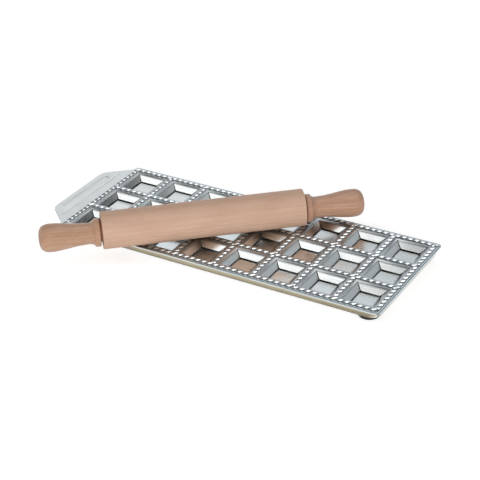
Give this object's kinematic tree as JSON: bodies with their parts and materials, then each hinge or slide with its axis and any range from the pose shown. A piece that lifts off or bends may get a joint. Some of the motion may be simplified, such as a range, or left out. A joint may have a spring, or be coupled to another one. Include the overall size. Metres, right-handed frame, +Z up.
{
  "type": "ravioli mould",
  "caption": "Pressed ravioli mould tray with square tapered pockets, toothed crimping ridges, a flange handle and rubber feet, with a turned wooden rolling pin lying slantwise across it",
  "frame": {"origin": "on the table, under the middle of the bounding box of the mould and the rolling pin together", "axes": "+X along the tray away from its flange handle, +Y across the tray away from the viewer, +Z up"},
  "size_m": [0.3184, 0.1868, 0.0422],
  "materials": {
    "sheet_metal": "polished pressed sheet",
    "ridge_metal": "polished pressed sheet",
    "pan_metal": "satin, warm tint on the outside",
    "foot_rubber": "matte moulded",
    "barrel_wood": "sanded beech, unvarnished",
    "handle_wood": "sanded beech, lightly oiled",
    "rod_steel": "drawn bright",
    "bush_plastic": "moulded"
  },
  "bodies": {
    "mould": {"mould_sheet": "sheet_metal", "long_ridges": "ridge_metal", "cross_ridges": "ridge_metal", "base_pan": "pan_metal", "foot_front_left": "foot_rubber", "foot_back_left": "foot_rubber", "foot_front_right": "foot_rubber", "foot_back_right": "foot_rubber"},
    "pin_frame": {"pin_axle": "rod_steel", "left_handle": "handle_wood", "right_handle": "handle_wood"},
    "pin_roller": {"pin_barrel": "barrel_wood", "left_bush": "bush_plastic", "right_bush": "bush_plastic"}
  },
  "joints": [
    {"name": "pin_lift", "type": "slide", "parent": "mould", "child": "pin_frame", "axis": [0, 0, 1], "range_m": [0, 0.08]},
    {"name": "barrel_spin", "type": "hinge", "parent": "pin_frame", "child": "pin_roller", "pos_m": [-0.0181, 0, 0.0269], "axis": [0.7547, 0.6561, 0], "continuous": true}
  ]
}
